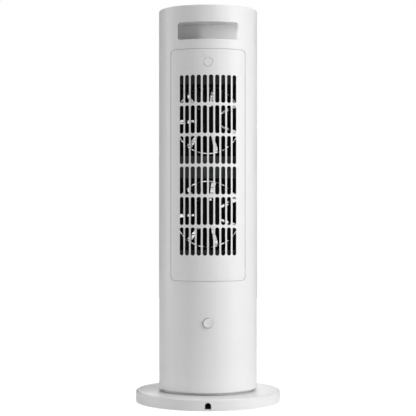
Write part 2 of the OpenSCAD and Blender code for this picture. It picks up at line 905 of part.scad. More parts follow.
// A leaf spring: its turned-up tip holds the panel's boss, and the button's wedge rides over its
// hump and pushes the tip down
module panel_latch() {
    z = latch_z;
    top = latch_z + latch_t;
    color(steel) side_profile(4.5) polygon([
        [latch_y0, z], [latch_y0, top], [46.5, top], [48, top + 1.5], [49.1, top + 1.5],
        [50.6, top], [58.3, top], [58.3, top + 1.3], [58.9, top + 1.3], [58.9, z]
    ]);
}

// ---------- fans ----------

module fan_carrier() {
    z0 = lower_shelf_z + shelf_t;
    z1 = upper_shelf_z;
    color(dark_grey) difference() {
        translate([-duct_x0, carrier_y0, z0]) cube([2 * duct_x0, carrier_t, z1 - z0]);
        for (z = fan_z)
            translate([-carrier_open_half, carrier_y0 - cut, z - carrier_open_half])
                cube([2 * carrier_open_half, carrier_t + 2 * cut, 2 * carrier_open_half]);
    }
}

module fan_frame(z) {
    color(black) along_y(z, fan_y0) union() {
        difference() {
            linear_extrude(height = fan_depth) rounded_rect(fan_half - 1.2, fan_half, fan_corner_r);
            translate([0, 0, -cut]) cylinder(r = duct_r, h = fan_depth + 2 * cut);
            for (sx = [-1, 1], sy = [-1, 1])
                translate([sx * fan_hole_x, sy * fan_hole_z, -cut])
                    cylinder(r = 1.5, h = fan_depth + 2 * cut);
        }
        cylinder(r = fan_motor_r + 2, h = fan_strut_t);
        for (i = [0 : 3])
            rotate([0, 0, 90 * i + 45]) translate([0, -2.5, 0]) cube([duct_r + 1, 5, fan_strut_t]);
    }
}

module fan_motor(z) {
    color(brass) along_y(z, fan_y0 + fan_strut_t) difference() {
        cylinder(r = fan_motor_r, h = 16.5);
        translate([0, 0, 1.5]) cylinder(r = fan_shaft_r + 0.06, h = 20);
    }
}

module impeller(z) {
    pitch = 360 / fan_blades;
    width_deg = asin(blade_width / (blade_tip_r * 0.8));
    sweep = pitch - blade_gap_deg - width_deg;
    color(black) along_y(z) rotate([0, 0, blade_start_deg]) union() {
        translate([0, 0, fan_hub_y0]) difference() {
            cylinder(r = fan_hub_r, h = fan_hub_y1 - fan_hub_y0);
            translate([0, 0, -cut])
                cylinder(r = fan_hub_r - fan_hub_wall, h = fan_hub_y1 - fan_hub_y0 - 2 + cut);
        }
        for (i = [0 : fan_blades - 1])
            rotate([0, 0, i * pitch])
                translate([0, 0, blade_y0])
                    linear_extrude(height = blade_h - 0.5, twist = -sweep, slices = 12, segments = 6)
                        translate([fan_hub_r - 1.2, -blade_width / 2])
                            square([blade_tip_r - fan_hub_r + 1.2, blade_width]);
    }
}

module fan_shaft(z) {
    color(steel) along_y(z, fan_y0 + fan_strut_t + 2)
        cylinder(r = fan_shaft_r, h = fan_hub_y1 - 2 - fan_y0 - fan_strut_t - 2);
}

// A fan's four screw places, each with +Z into the frame from its front face
module fan_corners(z) {
    for (sx = [-1, 1], sz = [-1, 1])
        translate([sx * fan_hole_x, 0, sz * fan_hole_z]) along_y(z, fan_y0) children();
}

// ---------- heater ----------

module duct_walls() {
    z0 = lower_shelf_z + shelf_t;
    color(dark_grey) for (s = [-1, 1])
        translate([s > 0 ? duct_x0 : -duct_x1, -duct_half_y, z0])
            cube([duct_x1 - duct_x0, 2 * duct_half_y, upper_shelf_z - z0]);
}

module heater_end_caps() {
    depth = heater_depth + 4;
    color([0.80, 0.76, 0.66]) for (z = [heater_z0 - cap_h, heater_z1])
        translate([-duct_x0, heater_y0 - 2, z]) cube([2 * duct_x0, depth, cap_h]);
}

// Left edge of each heating bar
function bar_x(i) = -heater_half_w + fin_w + i * (bar_w + fin_w);

module heater_tubes() {
    wall = 0.7;
    h = heater_z1 - heater_z0;
    color(aluminium) for (i = [0 : heater_bars - 1])
        difference() {
            translate([bar_x(i), heater_y0, heater_z0]) cube([bar_w, heater_depth, h]);
            translate([bar_x(i) + wall, heater_y0 + wall, heater_z0 - cut])
                cube([bar_w - 2 * wall, heater_depth - 2 * wall, h + 2 * cut]);
        }
}

module ceramic_plates() {
    h = heater_z1 - heater_z0;
    plate_h = h / plates_per_bar;
    color([0.30, 0.29, 0.28]) for (i = [0 : heater_bars - 1], k = [0 : plates_per_bar - 1])
        translate([bar_x(i) + 0.8, heater_y0 + 2, heater_z0 + k * plate_h + 0.4])
            cube([bar_w - 1.6, heater_depth - 4, plate_h - 0.8]);
}

// One corrugated strip: the ribbon runs up the column and folds back at each side
module fin_strip() {
    half_wave = fin_wave / 2;
    folds = floor((heater_z1 - heater_z0 - 2) / half_wave);
    half_w = fin_w / 2 - 0.05;
    lean = fin_t / sin(atan(half_wave / (2 * half_w)));
    z0 = (heater_z1 - heater_z0 - folds * half_wave) / 2;
    function left_side(i) = [i % 2 == 0 ? -half_w : half_w - lean, z0 + i * half_wave];
    function right_side(i) = [i % 2 == 0 ? -half_w + lean : half_w, z0 + i * half_wave];
    linear_extrude(height = heater_depth - 1)
        polygon(concat(
            [for (i = [0 : folds]) left_side(i)],
            [for (i = [folds : -1 : 0]) right_side(i)]
        ));
}

module heater_fins() {
    color(aluminium) for (c = [0 : fin_columns - 1])
        translate([-heater_half_w + fin_w / 2 + c * (fin_w + bar_w), heater_y1 - 0.5, heater_z0])
            rotate([90, 0, 0]) fin_strip();
}

module heater_terminals() {
    color(brass) for (i = [0 : heater_bars - 1])
        translate([bar_x(i) + bar_w / 2 - 0.4, -8, heater_z0 - cap_h - 8]) cube([0.8, 6.3, 8]);
}

module thermal_cutout() {
    color(black) translate([30, -4, heater_z1 + cap_h]) union() {
        cylinder(r = 8, h = 3.6);
        translate([-13, -1.5, 0]) cube([26, 3, 0.8]);
    }
}

module outlet_sensor() {
    color(black) translate([-20, -44, upper_shelf_z - 12]) cylinder(r = 1.6, h = 12);
    color(steel) translate([-20, -44, upper_shelf_z - 12]) sphere(r = 2);
}

// Leads from the control board up through the lower shelf to the heater's terminals
module heater_leads() {
    lead_r = 1.3;
    color([0.75, 0.12, 0.10]) for (s = [-1, 1])
        swept_tube([
            [s * 20, -14, 153], [s * 21, -17, 160], [s * 26, -21, 168], [s * 29, -24, 178],
            [s * 29, -24, 190], [s * 26, -20, 193], [s * 21, -13, 192.4], [s * 17, -9.5, 191.6]
        ], lead_r, 8, [1, 0, 0]);
}

// The supply's inner lead: from the gland, through the spindle's slot and up its bore to the board
module supply_lead() {
    color(dark_grey) swept_tube([
        [0, 82, notch_z], [0, 74, notch_z + 0.3], [0, 50, 9.4], [0, 30, 9.6], [0, 18, 9.6],
        [0, 9, 9.8], [0, 4, 11], [0, 1, 14], [0, 0, 19], [0, 0, 42], [1, -1, 50],
        [5, -5, 56], [11, -8, 60], [18, -9, 63], [24, -8, 66]
    ], 2, 10, [1, 0, 0]);
}

// ---------- what is drawn ----------

base_cover();
base_plate();
base_ballast();
rubber_feet();
base_screws();
cord_gland();
tipover_switch();
tipover_plunger();
tipover_spring();
spindle();
fixed_gear();
spindle_nut();
bearing_cage();
bearing_balls();
drive_pinion();
tower_shell();
turntable_plate();
top_cap();
control_glass();
touch_board();
grip_cup();
outlet_grille();
display_window();
display_board();
lower_shelf();
upper_shelf();
side_rails();
tower_screws();
swing_motor();
motor_bracket();
main_board();
board_parts();
board_tray();
power_switch();
switch_bracket();
power_button();
power_spring();
intake_panel();
release_button();
release_spring();
panel_latch();
fan_carrier();
fan_frame(fan_z[1]);  // fan_frame_upper
fan_frame(fan_z[0]);  // fan_frame_lower
fan_motor(fan_z[1]);  // fan_motor_upper
fan_motor(fan_z[0]);  // fan_motor_lower
impeller(fan_z[1]);  // impeller_upper
impeller(fan_z[0]);  // impeller_lower
fan_shaft(fan_z[1]);  // fan_shaft_upper
fan_shaft(fan_z[0]);  // fan_shaft_lower
duct_walls();
heater_end_caps();
heater_tubes();
ceramic_plates();
heater_fins();
heater_terminals();
thermal_cutout();
outlet_sensor();
heater_leads();
supply_lead();
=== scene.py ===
# %% [markdown]
# # A ceramic tower heater, from its frame to its finish
# The heater is a white plastic tower on a round swivelling base. Its parts, sizes and joints
# come from a finished mechanical model, which this lesson loads and never moves. What is made
# here is everything the eye judges: rounded edges, blades with a real twist, the grain of
# moulded plastic, the shine of rolled aluminium, the light and the camera.

# %% Load the mechanical model
import json
import math
import bmesh
import bpy
from mathutils import Matrix, Vector


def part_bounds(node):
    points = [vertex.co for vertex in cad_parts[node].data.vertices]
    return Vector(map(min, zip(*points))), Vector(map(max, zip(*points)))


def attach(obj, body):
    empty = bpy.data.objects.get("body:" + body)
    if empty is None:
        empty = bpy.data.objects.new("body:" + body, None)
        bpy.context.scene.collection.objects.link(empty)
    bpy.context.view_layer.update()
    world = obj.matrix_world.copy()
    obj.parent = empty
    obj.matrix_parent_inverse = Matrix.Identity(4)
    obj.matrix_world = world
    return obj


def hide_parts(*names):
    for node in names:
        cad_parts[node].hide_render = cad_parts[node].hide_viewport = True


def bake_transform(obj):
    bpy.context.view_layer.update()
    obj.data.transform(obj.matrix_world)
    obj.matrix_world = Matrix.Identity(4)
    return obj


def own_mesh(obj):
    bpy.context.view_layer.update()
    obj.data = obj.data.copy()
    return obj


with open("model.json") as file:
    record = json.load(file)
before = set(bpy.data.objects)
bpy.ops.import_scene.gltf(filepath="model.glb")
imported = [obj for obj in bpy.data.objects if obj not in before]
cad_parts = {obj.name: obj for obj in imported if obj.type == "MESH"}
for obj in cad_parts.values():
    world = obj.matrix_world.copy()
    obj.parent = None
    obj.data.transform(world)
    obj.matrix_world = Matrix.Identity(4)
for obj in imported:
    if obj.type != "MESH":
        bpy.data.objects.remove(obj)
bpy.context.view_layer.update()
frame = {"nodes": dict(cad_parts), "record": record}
nodes = frame["nodes"]

# %% [markdown]
# ## The few sizes everything else is worked out from
# A piece that is made here has to fit the mechanical model to a fraction of a millimetre. So
# the tower's radius and height are read from the box of the part itself instead of being typed
# in again. Pieces are drawn in millimetres, which MM turns into metres. The camera, the lamps
# and the floor are placed in metres.

# %% Sizes from the parts' own boxes
MM = 0.001


def part_box(name):
    """The lowest and highest corner of a part, and its middle, in metres."""
    low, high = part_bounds(name)
    return low, high, (low + high) / 2


shell_high = part_box("tower_shell")[1]
SHELL_R = round(shell_high.y / MM, 3)
SHELL_TOP = shell_high.z / MM
SHELL_WALL = 2.6
print("tower radius:", SHELL_R, "mm, top:", round(SHELL_TOP, 2), "mm")

# %% [markdown]
# ## The camera
# The heater is looked at from behind, from far enough away that the tower's sides stay nearly
# parallel. A long lens at about half the heater's height, held level, does that. The camera
# looks along -Y, so it stands at +Y.

# %% A level camera behind the heater
VIEW_DISTANCE = 1.788
VIEW_HEIGHT = 0.268
SENSOR_WIDTH = 36
LENS = 111.2
camera_data = bpy.data.cameras.new("camera")
camera_data.sensor_width = SENSOR_WIDTH
camera_data.lens = LENS
camera = bpy.data.objects.new("camera", camera_data)
camera.location = (0, VIEW_DISTANCE, VIEW_HEIGHT)
camera.rotation_euler = (math.radians(90), 0, math.radians(180))
bpy.context.scene.collection.objects.link(camera)
bpy.context.scene.camera = camera
print("camera at", tuple(round(c, 3) for c in camera.location))

# %% [markdown]
# ## Light
# White plastic shows its shape only through soft gradients. Seven tall narrow lamps stand round
# the heater, as strip softboxes do in a studio: three on each side of the camera make the
# gradients across the tower, and one stands beyond the heater and shines through its outlet
# onto the fins. A big lamp high up on one side lights the base, and a small key lamp on the same
# side draws the sharper shadows. Azimuth counts from the camera, and is positive towards -X.

# %% Strip lamps round the heater


def area_lamp(name, azimuth, elevation, distance, size, power, aim=(0, 0, 0.3)):
    """A softbox at an azimuth and an elevation, in degrees, round the point it is aimed at."""
    a, e = math.radians(azimuth), math.radians(elevation)
    away = Vector((-math.sin(a) * math.cos(e), math.cos(a) * math.cos(e), math.sin(e)))
    data = bpy.data.lights.new(name, "AREA")
    data.shape = "RECTANGLE"
    data.size, data.size_y = size
    data.energy = power
    lamp = bpy.data.objects.new(name, data)
    lamp.location = Vector(aim) + away * distance
    lamp.rotation_euler = away.to_track_quat("Z", "Y").to_euler()
    bpy.context.scene.collection.objects.link(lamp)
    return lamp


STRIP_SIZE = (0.45, 1.9)
STRIP_POWERS = {-105: 9.6, -85: 5.2, -65: 6.4, 30: 7.6, 60: 10.0, 75: 5.4, 180: 5}
LAMP_DISTANCE = 2.0
for azimuth, power in STRIP_POWERS.items():
    area_lamp(f"strip_lamp_{azimuth}", azimuth, 4, LAMP_DISTANCE, STRIP_SIZE, power)
area_lamp("top_lamp", 75, 79, LAMP_DISTANCE, (1.6, 1.6), 22)
area_lamp("key_lamp", 55, 28, LAMP_DISTANCE, (0.18, 0.18), 10.5)
print("lamps:", len(bpy.data.lights))

# %% [markdown]
# ## Background and floor
# The room is plain white and the floor is a sheet of white acrylic, lit from behind so that it
# stays white however far it reaches. Both are there to be looked at and not to light the
# heater, because light from all sides would wipe out the gradients. So their rays of light on
# other things are switched off, and a plain matt sheet in the floor's place, which the camera
# doesn't see, throws the lamps' light back up as a real floor would.

# %% A white room and a glowing floor
world = bpy.data.worlds.new("white_room")
bpy.context.scene.world = world
world.use_nodes = True
sky = world.node_tree.nodes["Background"]
sky.inputs["Color"].default_value = (1, 1, 1, 1)
sky.inputs["Strength"].default_value = 1.0
world.cycles_visibility.diffuse = False
world.cycles_visibility.glossy = False
bpy.context.scene.view_settings.view_transform = "Standard"

FLOOR_HALF = 2.0
floor_mesh = bmesh.new()
bmesh.ops.create_grid(floor_mesh, x_segments=1, y_segments=1, size=FLOOR_HALF)
floor_data = bpy.data.meshes.new("floor")
floor_mesh.to_mesh(floor_data)
floor_mesh.free()
floor = bpy.data.objects.new("floor", floor_data)
floor.visible_diffuse = False
floor.visible_glossy = False
bpy.context.scene.collection.objects.link(floor)

reflector = bpy.data.objects.new("reflector", floor_data.copy())
reflector.visible_camera = False
floor.visible_shadow = reflector.visible_shadow = False
bpy.context.scene.collection.objects.link(reflector)
print("floor:", 2 * FLOOR_HALF, "m square")

# %% [markdown]
# ## Finishes
# Every finish starts the same way: a Principled shader, noises that read Object coordinates so
# that the pattern is nailed to the part, and three uses of them. They tint the colour a little,
# they move the roughness a little, and they lift a bump. One class sets that up, and each
# material only says how coarse and how strong its own detail is.

# %% The common start of a finish


class Finish:
    """A material and the shader inside it, with short ways to add detail."""

    def __init__(self, name, colour, rough, metal=0.0, spec=0.5):
        self.material = bpy.data.materials.new(name)
        self.material.use_nodes = True
        self.nodes = self.material.node_tree.nodes
        self.links = self.material.node_tree.links
        self.shader = self.nodes["Principled BSDF"]
        self.colour = colour
        self.rough = rough
        self.set("Base Color", (*colour, 1))
        self.set("Roughness", rough)
        self.set("Metallic", metal)
        self.set("Specular IOR Level", spec)
        self.place = self.nodes.new("ShaderNodeTexCoord").outputs["Object"]

    def set(self, socket, value):
        self.shader.inputs[socket].default_value = value

    def stretched(self, scale):
        """Object coordinates, stretched along an axis, for brushed and rolled surfaces."""
        mapping = self.nodes.new("ShaderNodeMapping")
        mapping.inputs["Scale"].default_value = scale
        self.links.new(self.place, mapping.inputs["Vector"])
        return mapping.outputs["Vector"]

    def noise(self, grain_mm, detail=3.0, place=None):
        """A pattern with spots about as wide as the grain."""
        node = self.nodes.new("ShaderNodeTexNoise")
        node.inputs["Scale"].default_value = 1 / (grain_mm * MM)
        node.inputs["Detail"].default_value = detail
        self.links.new(place or self.place, node.inputs["Vector"])
        return node.outputs["Fac"]

    def band(self, fac, low, high):
        """Spreads a noise, which mostly stays from 0.25 to 0.75, over another range."""
        node = self.nodes.new("ShaderNodeMapRange")
        node.inputs["From Min"].default_value = 0.25
        node.inputs["From Max"].default_value = 0.75
        node.inputs["To Min"].default_value = low
        node.inputs["To Max"].default_value = high
        self.links.new(fac, node.inputs["Value"])
        return node.outputs["Result"]

    def tint(self, fac, amount):
        """Lets the colour get lighter and darker by an amount as the pattern goes."""
        node = self.nodes.new("ShaderNodeMix")
        node.data_type = "RGBA"
        dark = [max(0.0, c * (1 - amount)) for c in self.colour]
        light = [min(1.0, c * (1 + amount)) for c in self.colour]
        node.inputs["A"].default_value = (*dark, 1)
        node.inputs["B"].default_value = (*light, 1)
        self.links.new(fac, node.inputs["Factor"])
        self.links.new(node.outputs["Result"], self.shader.inputs["Base Color"])

    def roughen(self, fac, amount):
        """Lets the surface get shinier and duller by an amount as the pattern goes."""
        spread = self.band(fac, max(0.02, self.rough - amount), min(1.0, self.rough + amount))
        self.links.new(spread, self.shader.inputs["Roughness"])

    def bump(self, fac, depth_mm):
        """Lifts the surface by a depth as the pattern goes."""
        node = self.nodes.new("ShaderNodeBump")
        node.inputs["Distance"].default_value = depth_mm * MM
        node.inputs["Strength"].default_value = 1.0
        self.links.new(fac, node.inputs["Height"])
        self.links.new(node.outputs["Normal"], self.shader.inputs["Normal"])


# %% [markdown]
# ## Two families of finish
# Almost all of the heater is either moulded plastic or worked metal. Moulded plastic copies the
# mould: a fine, even spark-eroded grain, and broad faint patches where the melt flowed and
# cooled. Rolled or drawn metal has lines along the way it was pulled, and duller patches from
# handling. A noise for each, at its real scale, is enough; an image would add nothing.

# %% Moulded plastic and worked metal


def moulded(name, colour, rough, grain_mm=0.5, depth_mm=0.012, spec=0.5, tint=0.02):
    f = Finish(name, colour, rough, spec=spec)
    flow = f.noise(60, detail=2)
    grain = f.noise(grain_mm, detail=2)
    f.tint(flow, tint)
    f.roughen(flow, 0.05)
    f.bump(grain, depth_mm)
    return f.material


def worked_metal(name, colour, rough, along=(1, 1, 0.05), grain_mm=0.4, depth_mm=0.008):
    f = Finish(name, colour, rough, metal=1.0)
    lines = f.noise(grain_mm, detail=4, place=f.stretched(along))
    patches = f.noise(9, detail=3)
    f.tint(patches, 0.08)
    f.roughen(lines, 0.12)
    f.bump(lines, depth_mm)
    return f.material


# %% [markdown]
# ## One finish for each material
# The whites of the shell, the base, the button and the cup differ a little, as they do on a
# real heater, where each comes from its own mould. Each line says the colour, in linear light,
# and then the roughness; the rest is the grain's width and depth in mm.

# %% The finishes of this heater
SHELL_WHITE = moulded("shell_white", (0.86, 0.86, 0.86), 0.36, grain_mm=0.55, depth_mm=0.006)
BASE_WHITE = moulded("base_white", (0.87, 0.87, 0.87), 0.38, grain_mm=0.55, depth_mm=0.006)
BUTTON_WHITE = moulded("button_white", (0.88, 0.88, 0.88), 0.25, grain_mm=0.8, depth_mm=0.002)
CUP_WHITE = moulded("cup_white", (0.85, 0.85, 0.85), 0.48, grain_mm=0.7, depth_mm=0.015)
FRAME_GREY = moulded("frame_grey", (0.05, 0.051, 0.053), 0.5, grain_mm=0.6, depth_mm=0.02)
FAN_BLACK = moulded("fan_black", (0.004, 0.004, 0.0042), 0.55, depth_mm=0.01, spec=0.12)
BLACK_PLASTIC = moulded("black_plastic", (0.015, 0.015, 0.016), 0.45, depth_mm=0.015)
RUBBER = moulded("rubber", (0.02, 0.02, 0.02), 0.8, grain_mm=0.9, depth_mm=0.04, spec=0.3)
ACETAL = moulded("acetal", (0.80, 0.79, 0.74), 0.3, grain_mm=1.2, depth_mm=0.004)
INSULATOR = moulded("insulator", (0.62, 0.56, 0.44), 0.6, grain_mm=0.8, depth_mm=0.03, tint=0.06)
SMOKED = moulded("smoked_window", (0.02, 0.02, 0.022), 0.08, grain_mm=5, depth_mm=0.001)
GLASS_WHITE = moulded("glass_white", (0.9, 0.9, 0.9), 0.06, grain_mm=12, depth_mm=0.001, tint=0.01)
PRINT_GREY = moulded("print_grey", (0.16, 0.16, 0.17), 0.5, grain_mm=0.2, depth_mm=0.002)
LEAD_RED = moulded("lead_red", (0.5, 0.03, 0.025), 0.5, grain_mm=1.0, depth_mm=0.02)
LEAD_GREY = moulded("lead_grey", (0.08, 0.08, 0.085), 0.55, grain_mm=1.0, depth_mm=0.02)
FILM_YELLOW = moulded("film_yellow", (0.72, 0.46, 0.03), 0.4, grain_mm=0.9, depth_mm=0.01)
SLEEVE_BLUE = moulded("sleeve_blue", (0.02, 0.05, 0.22), 0.3, grain_mm=1.4, depth_mm=0.01)
PLUG_IVORY = moulded("plug_ivory", (0.74, 0.71, 0.62), 0.45, grain_mm=0.6, depth_mm=0.01)
STEEL = worked_metal("steel", (0.62, 0.63, 0.65), 0.3)
SPRING_STEEL = worked_metal("spring_steel", (0.5, 0.5, 0.52), 0.25)
BALLAST_IRON = moulded("ballast_iron", (0.12, 0.12, 0.125), 0.7, grain_mm=1.5, depth_mm=0.15)
ALUMINIUM = worked_metal("aluminium", (0.88, 0.89, 0.91), 0.3)
CERAMIC = moulded("heater_ceramic", (0.07, 0.065, 0.06), 0.7, grain_mm=0.4, depth_mm=0.02)
BRASS = worked_metal("brass", (0.8, 0.58, 0.25), 0.28)
WINDING = worked_metal("motor_winding", (0.70, 0.33, 0.12), 0.35, along=(1, 0.05, 1))
BOARD = moulded("board", (0.02, 0.12, 0.05), 0.35, grain_mm=1.0, depth_mm=0.01)
print("finishes:", len(bpy.data.materials))

# %% [markdown]
# ## The floor's finish
# The acrylic sheet glows by itself and also shows the lamps' light, so a soft shadow is left
# only where the base keeps that light off it. The sheet that throws light back is matt white.

# %% Glowing acrylic
FLOOR_GLOW = 0.9
ACRYLIC = Finish("floor_acrylic", (0.93, 0.93, 0.93), 0.7)
ACRYLIC.bump(ACRYLIC.noise(3), 0.01)
ACRYLIC.set("Emission Color", (1, 1, 1, 1))
ACRYLIC.set("Emission Strength", FLOOR_GLOW)
floor.data.materials.append(ACRYLIC.material)
reflector.data.materials.append(moulded("floor_matt", (0.72, 0.72, 0.72), 0.7, grain_mm=3))
print("floor glows at", FLOOR_GLOW)

# %% [markdown]
# ## Each part of the model gets its finish
# The mechanical model says what each part is made of, by the name of a material slot. A table
# from slot to finish covers all sixty parts at once. Parts that are made again further down
# keep their entry, because the new piece takes the same finish.

# %% From material slot to finish
FINISH_OF_SLOT = {
    "shell_white": SHELL_WHITE, "base_white": BASE_WHITE, "button_white": BUTTON_WHITE,
    "cup_white": CUP_WHITE, "glass_white": GLASS_WHITE, "smoked_window": SMOKED,
    "frame_grey": FRAME_GREY, "fan_black": FAN_BLACK, "black_plastic": BLACK_PLASTIC,
    "rubber": RUBBER, "acetal": ACETAL, "steel": STEEL, "spring_steel": SPRING_STEEL,
    "ballast_iron": BALLAST_IRON, "aluminium": ALUMINIUM, "heater_ceramic": CERAMIC,
    "insulator": INSULATOR, "brass": BRASS, "motor_winding": WINDING, "board": BOARD,
    "board_mixed": BLACK_PLASTIC, "lead_red": LEAD_RED, "lead_grey": LEAD_GREY,
}
slot_of = {sub["node"]: sub["material_slot"] for sub in frame["record"]["subparts"]}
for name, part in nodes.items():
    part.material_slots[0].material = FINISH_OF_SLOT[slot_of[name]]
print("parts finished:", len(slot_of))

# %% [markdown]
# ## Tools for making pieces
# A piece starts as an outline that is spun round an axis, or as a block with rounded corners.
# Most of the heater is turned or bent round the tower's axis, so the spin comes first.

# %% An outline spun round an axis


def placed(mesh, axis, centre):
    """Turns a shape made about Z so that it stands about Y instead, and moves it."""
    if axis == "Y":
        bmesh.ops.rotate(mesh, verts=mesh.verts, matrix=Matrix.Rotation(math.radians(-90), 3, "X"))
    bmesh.ops.translate(mesh, verts=mesh.verts, vec=Vector(centre) * MM)
    return mesh


def spun(outline, steps=64, axis="Z", centre=(0, 0, 0), start=0.0, sweep=360.0):
    """Spins an outline of (radius, height) corners, in mm. It is closed, or ends on the axis."""
    mesh = bmesh.new()
    corners = [mesh.verts.new((r * MM, 0, h * MM)) for r, h in outline]
    pairs = list(zip(corners, corners[1:]))
    on_axis = outline[0][0] == 0 and outline[-1][0] == 0
    if not on_axis:
        pairs.append((corners[-1], corners[0]))
    edges = [mesh.edges.new(pair) for pair in pairs]
    bmesh.ops.rotate(mesh, verts=corners, matrix=Matrix.Rotation(math.radians(start), 3, "Z"))
    whole = sweep == 360
    swept = bmesh.ops.spin(
        mesh, geom=corners + edges, cent=(0, 0, 0), axis=(0, 0, 1),
        angle=math.radians(sweep), steps=steps, use_merge=whole,
    )
    if not whole:
        bmesh.ops.contextual_create(mesh, geom=edges)
        last = [g for g in swept["geom_last"] if isinstance(g, bmesh.types.BMEdge)]
        bmesh.ops.contextual_create(mesh, geom=last)
    bmesh.ops.remove_doubles(mesh, verts=mesh.verts, dist=1e-7)
    bmesh.ops.recalc_face_normals(mesh, faces=mesh.faces)
    return placed(mesh, axis, centre)


# %% [markdown]
# ## Blocks, rounded edges and cuts
# Windows and slots are cut out with a solid of their own shape, and then the edges that the
# eye can see are rounded. Which edges those are is said by a test of an edge, of where its
# middle is, in mm, and of the way it runs.

# %% Rounded blocks, rounded edges, cuts


def round_edges(mesh, wanted, radius_mm, segments=3):
    """Rounds the edges whose middle and direction a test wants."""
    picked = []
    for edge in mesh.edges:
        a, b = (v.co for v in edge.verts)
        if edge.is_manifold and wanted(edge, (a + b) / 2 / MM, (b - a).normalized()):
            picked.append(edge)
    bmesh.ops.bevel(
        mesh, geom=picked, offset=radius_mm * MM, offset_type="OFFSET", segments=segments,
        profile=0.5, affect="EDGES", material=-1, clamp_overlap=True,
    )
    return mesh


def block(low, high, corner=0.0, along=1, segments=6):
    """A box between two corners in mm, with the edges along one axis (0, 1, 2) rounded."""
    mesh = bmesh.new()
    low, high = Vector(low), Vector(high)
    bmesh.ops.create_cube(mesh, size=1)
    bmesh.ops.scale(mesh, verts=mesh.verts, vec=(high - low) * MM)
    bmesh.ops.translate(mesh, verts=mesh.verts, vec=(low + high) / 2 * MM)
    if corner:
        round_edges(mesh, lambda e, at, way: abs(way[along]) > 0.9, corner, segments)
    return mesh


def soft_block(low, high, edge=0.5, segments=2):
    """A box between two corners in mm with all its edges rounded."""
    return round_edges(block(low, high), lambda e, at, way: True, edge, segments)


def joined(*parts):
    """Several meshes in one."""
    whole = bmesh.new()
    for part in parts:
        data = bpy.data.meshes.new("scratch")
        part.to_mesh(data)
        part.free()
        whole.from_mesh(data)
        bpy.data.meshes.remove(data)
    return whole


def carved(mesh, tool, operation="DIFFERENCE"):
    """Cuts a tool's shape out of a mesh, or keeps only what lies inside it."""
    scraps = []
    for name, shape in (("work", mesh), ("tool", tool)):
        data = bpy.data.meshes.new(name)
        shape.to_mesh(data)
        shape.free()
        scraps.append(bpy.data.objects.new(name, data))
        bpy.context.scene.collection.objects.link(scraps[-1])
    cut = scraps[0].modifiers.new("cut", "BOOLEAN")
    cut.operation, cut.solver, cut.object = operation, "EXACT", scraps[1]
    result = bmesh.new()
    result.from_object(scraps[0], bpy.context.evaluated_depsgraph_get())
    for scrap in scraps:
        data = scrap.data
        bpy.data.objects.remove(scrap)
        bpy.data.meshes.remove(data)
    bmesh.ops.remove_doubles(result, verts=result.verts, dist=1e-7)
    return result


# %% [markdown]
# ## From mesh to piece
# A mesh becomes a piece once it has its finish, is shaded smoothly up to its sharp edges, and
# rides a body of the mechanical model, so that it moves with the joints. A piece that is made
# in the place of a part hides that part.

# %% A finished piece, on its body


def new_piece(name, mesh, finish, body, replaced=None, sharp=38):
    """Makes a mesh a visible piece. It rides a body, or none where it spans a joint."""
    data = bpy.data.meshes.new(name)
    mesh.to_mesh(data)
    mesh.free()
    data.shade_smooth()
    data.set_sharp_from_angle(angle=math.radians(sharp))
    data.materials.append(finish)
    piece = bpy.data.objects.new(name, data)
    bpy.context.scene.collection.objects.link(piece)
    if body:
        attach(piece, body)
    if replaced:
        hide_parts(replaced)
    print(name, len(data.polygons), "faces")
    return piece


def evenly_shaded(piece):
    """Lets the broad faces set the normals, so that narrow rounded edges don't bend them."""
    weighted = piece.modifiers.new("even_shading", "WEIGHTED_NORMAL")
    weighted.keep_sharp = True
    return piece


# %% [markdown]
# ## The tower's shell
# On the real heater the shell is one tall moulding: a thin tube, open at the bottom, with
# windows for the intake panel, the grip, the outlet and the display. It could be unrolled flat
# and bent, but the windows are cut straight through along Y, as the mould's sliders do it, so
# here a spun wall has straight-sided blocks taken out of it. Then the windows' outer edges are
# rounded by half a millimetre, which is what gives a moulding its bright outline. A window is
# written down as half its width, its lower and upper end, and its corner radius.

# %% Windows in a spun wall
PANEL_WINDOW = (50.6, 169.6, 481.9, 5.6)
GRIP_WINDOW = (40.8, 494.6, 518.0, 3.5)
OUTLET_WINDOW = (46.0, 205.0, 442.0, 8.0)
DISPLAY_WINDOW = (18.0, 468.0, 486.0, 4.0)
POWER_HOLE_R, POWER_Z = 7.1, 113.6
BACK, FRONT = (30, 80), (-80, -30)
TOWER_STEPS = 180
WALL_FOOT = 20
TOP_RIM_R, EDGE_R = 1.8, 0.45


def window_tool(half_w, z0, z1, corner, reach=BACK):
    """The solid that a window is cut with, as far along Y as it reaches."""
    return block((-half_w, reach[0], z0), (half_w, reach[1], z1), corner)


def tube(inner, z0, z1, outer=SHELL_R):
    """A plain tube round the tower's axis."""
    return spun([(inner, z0), (outer, z0), (outer, z1), (inner, z1)], TOWER_STEPS)


def rod(r, y0, y1, z, steps=48):
    """A plain round rod along Y."""
    return spun([(0, 0), (r, 0), (r, y1 - y0), (0, y1 - y0)], steps, "Y", (0, y0, z))


def on_skin(at, r=SHELL_R, slack=0.08):
    """Is a point on the tower's outer skin?"""
    return abs(math.hypot(at.x, at.y) - r) < slack


def is_crease(edge, angle=50):
    """Do the faces on both sides of an edge bend by more than an angle?"""
    return edge.calc_face_angle(0) > math.radians(angle)


def outer_crease(edge, at, way):
    """A crease that lies on the tower's outer skin."""
    return is_crease(edge) and on_skin(at)


